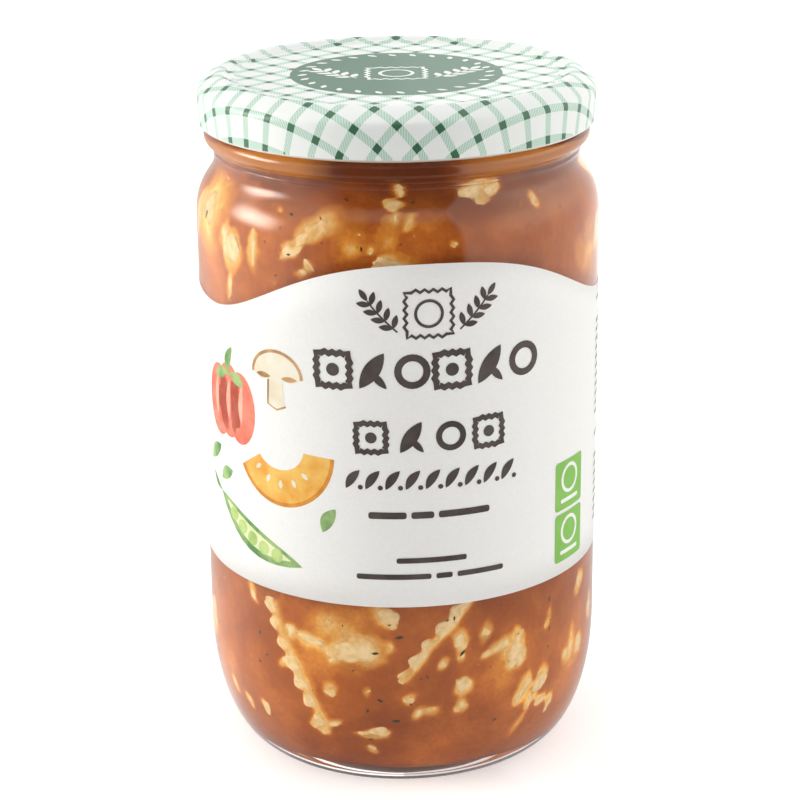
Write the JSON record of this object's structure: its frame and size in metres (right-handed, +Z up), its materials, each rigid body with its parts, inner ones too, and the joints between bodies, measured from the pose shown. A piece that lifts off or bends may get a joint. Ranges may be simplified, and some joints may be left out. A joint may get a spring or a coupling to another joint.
{
  "type": "jar of ravioli in tomato sauce",
  "caption": "Shut clear glass jar of ravioli in tomato sauce, with a checked twist-off metal lid and a wrap-round paper label with a wavy top edge.",
  "frame": {"origin": "centre of the foot ring, in the plane the jar stands on", "axes": "+Z up along the jar's axis, -Y the front with the main face of the label, +X to the right seen from the front"},
  "size_m": [0.0878, 0.0878, 0.1521],
  "materials": {
    "glass": "clear blown flint glass, glossy and smooth",
    "lid": "white lacquered tinplate with a printed green check, satin gloss",
    "paper": "matt coated label paper, printed in ink",
    "pasta": "cooked egg pasta, moist and smooth",
    "sauce": "smooth orange-brown tomato sauce with herb flecks, wet against the glass"
  },
  "bodies": {
    "root": {"jar": "glass", "lid": "lid", "label": "paper", "ravioli": "pasta"}
  },
  "joints": []
}
